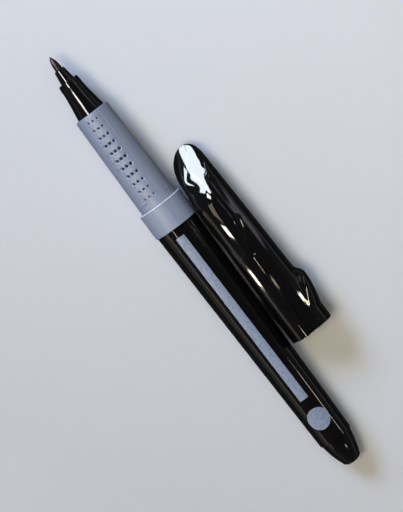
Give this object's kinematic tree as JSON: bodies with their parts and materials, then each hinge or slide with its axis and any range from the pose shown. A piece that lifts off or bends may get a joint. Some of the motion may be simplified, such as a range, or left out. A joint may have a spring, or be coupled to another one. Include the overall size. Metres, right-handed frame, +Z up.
{
  "type": "permanent marker",
  "caption": "Fine-tip permanent marker lying with its clip cap pulled off beside it: stepped nib holder, dimpled grip, tapered barrel and rounded tail plug.",
  "frame": {"origin": "centre of the footprint of pen and cap together, on the table", "axes": "+X from nib to tail, +Y from the pen to the cap, +Z up from the table"},
  "size_m": [0.1292, 0.0252, 0.0134],
  "materials": {
    "nib_fibre": "ink-soaked pressed fibre",
    "holder_plastic": "gloss moulded",
    "grip_plastic": "satin moulded",
    "barrel_plastic": "gloss with printed marks",
    "ink_fibre": "ink-soaked fibre bundle",
    "wrap_film": "clear film",
    "plug_plastic": "gloss moulded",
    "cap_plastic": "high gloss moulded",
    "seal_plastic": "natural moulded"
  },
  "bodies": {
    "pen": {"nib": "nib_fibre", "nib_holder": "holder_plastic", "grip_section": "grip_plastic", "barrel": "barrel_plastic", "ink_reservoir": "ink_fibre", "reservoir_wrap": "wrap_film", "tail_plug": "plug_plastic"},
    "cap": {"cap_shell": "cap_plastic", "inner_cap": "seal_plastic"}
  },
  "joints": [
    {"name": "cap_lift", "type": "slide", "parent": "pen", "child": "cap", "axis": [0, 0.5, 0.866], "range_m": [0, 0.06]}
  ]
}
